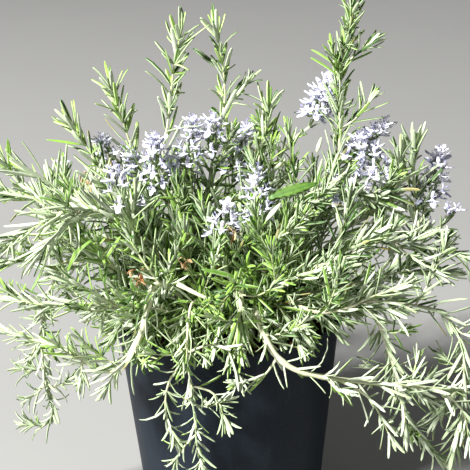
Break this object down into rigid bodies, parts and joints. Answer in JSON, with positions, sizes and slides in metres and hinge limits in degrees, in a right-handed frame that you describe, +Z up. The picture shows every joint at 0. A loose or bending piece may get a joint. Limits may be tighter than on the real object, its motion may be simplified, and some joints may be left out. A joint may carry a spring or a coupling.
{
  "type": "potted rosemary plant",
  "caption": "Trailing rosemary in flower, its leafy woody stems arching out over the rim of a round tapered nursery pot filled with bark potting mix.",
  "frame": {"origin": "middle of the pot's underside, where it stands", "axes": "+Z up, -Y towards the front that the picture shows, +X to that front's right"},
  "size_m": [0.468, 0.3756, 0.5419],
  "materials": {
    "pot": "satin charcoal moulded plastic, slightly dusty",
    "potting_mix": "rough composted bark",
    "leafy_stem": "green needle leaves with pale undersides on cream to grey woody stems",
    "bloom": "soft pale lilac petals"
  },
  "bodies": {
    "root": {"pot": "pot", "potting_mix": "potting_mix", "leafy_stem_01": "leafy_stem", "leafy_stem_02": "leafy_stem", "leafy_stem_03": "leafy_stem", "leafy_stem_04": "leafy_stem", "leafy_stem_05": "leafy_stem", "leafy_stem_06": "leafy_stem", "leafy_stem_07": "leafy_stem", "leafy_stem_08": "leafy_stem", "leafy_stem_09": "leafy_stem", "leafy_stem_10": "leafy_stem", "leafy_stem_11": "leafy_stem", "leafy_stem_12": "leafy_stem", "leafy_stem_13": "leafy_stem", "leafy_stem_14": "leafy_stem", "leafy_stem_15": "leafy_stem", "leafy_stem_16": "leafy_stem", "leafy_stem_17": "leafy_stem", "leafy_stem_18": "leafy_stem", "leafy_stem_19": "leafy_stem", "leafy_stem_20": "leafy_stem", "leafy_stem_21": "leafy_stem", "leafy_stem_22": "leafy_stem", "leafy_stem_23": "leafy_stem", "leafy_stem_24": "leafy_stem", "leafy_stem_25": "leafy_stem", "leafy_stem_26": "leafy_stem", "leafy_stem_27": "leafy_stem", "leafy_stem_28": "leafy_stem", "leafy_stem_29": "leafy_stem", "leafy_stem_30": "leafy_stem", "leafy_stem_31": "leafy_stem", "leafy_stem_32": "leafy_stem", "bloom_01": "bloom", "bloom_02": "bloom", "bloom_03": "bloom", "bloom_04": "bloom", "bloom_05": "bloom", "bloom_06": "bloom", "bloom_07": "bloom", "bloom_08": "bloom", "bloom_09": "bloom", "bloom_10": "bloom", "bloom_11": "bloom", "bloom_12": "bloom", "bloom_13": "bloom", "bloom_14": "bloom", "bloom_15": "bloom"}
  },
  "joints": []
}
